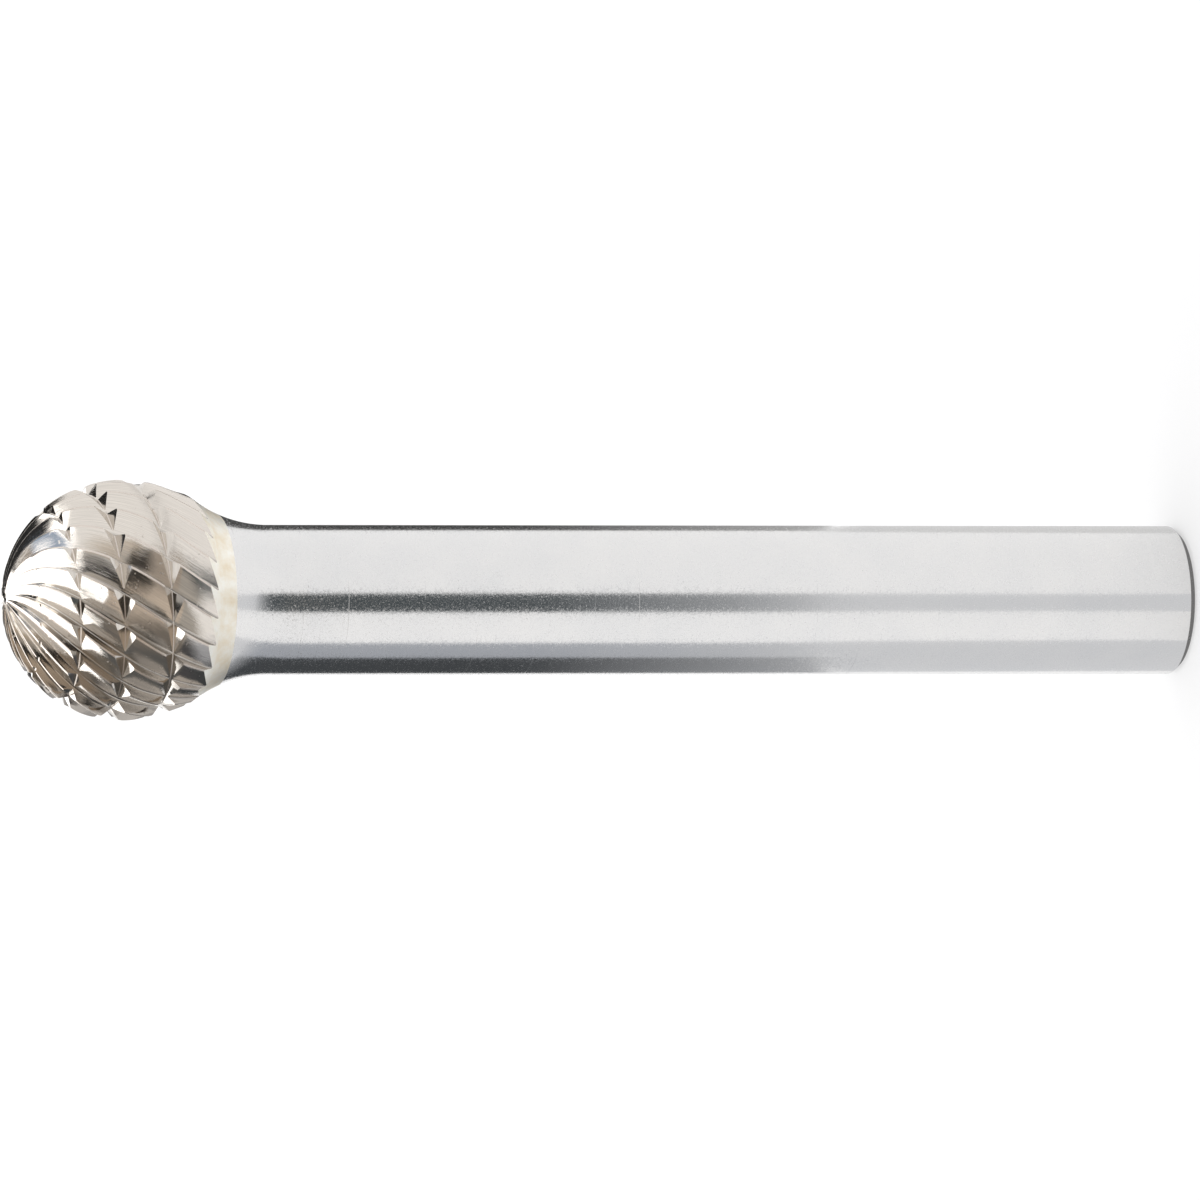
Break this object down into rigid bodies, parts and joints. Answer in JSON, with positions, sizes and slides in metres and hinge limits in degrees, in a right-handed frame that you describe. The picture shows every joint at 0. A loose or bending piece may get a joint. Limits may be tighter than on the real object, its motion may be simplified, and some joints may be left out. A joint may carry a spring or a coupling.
{
  "type": "carbide burr",
  "caption": "Rotary burr with a ball-shaped fluted carbide head, notched by a spiral chip breaker, brazed on a straight round steel shank.",
  "frame": {"origin": "centre of the flat end of the shank, on which the burr stands", "axes": "+Z along the burr's axis, from the shank's end to the tip of the ball; -Y is the side from which the notches cross the ball at 54, 77 and 102 degrees from the tip"},
  "size_m": [0.0096, 0.0096, 0.049],
  "materials": {
    "carbide": "ground tungsten carbide, bright, with fine grinding lines along the flutes",
    "braze": "pale gold silver-braze filler, ground flush",
    "steel": "satin ground tool steel, with fine scratches round the shank"
  },
  "bodies": {
    "root": {"carbide_head": "carbide", "braze_joint": "braze", "steel_shank": "steel"}
  },
  "joints": []
}
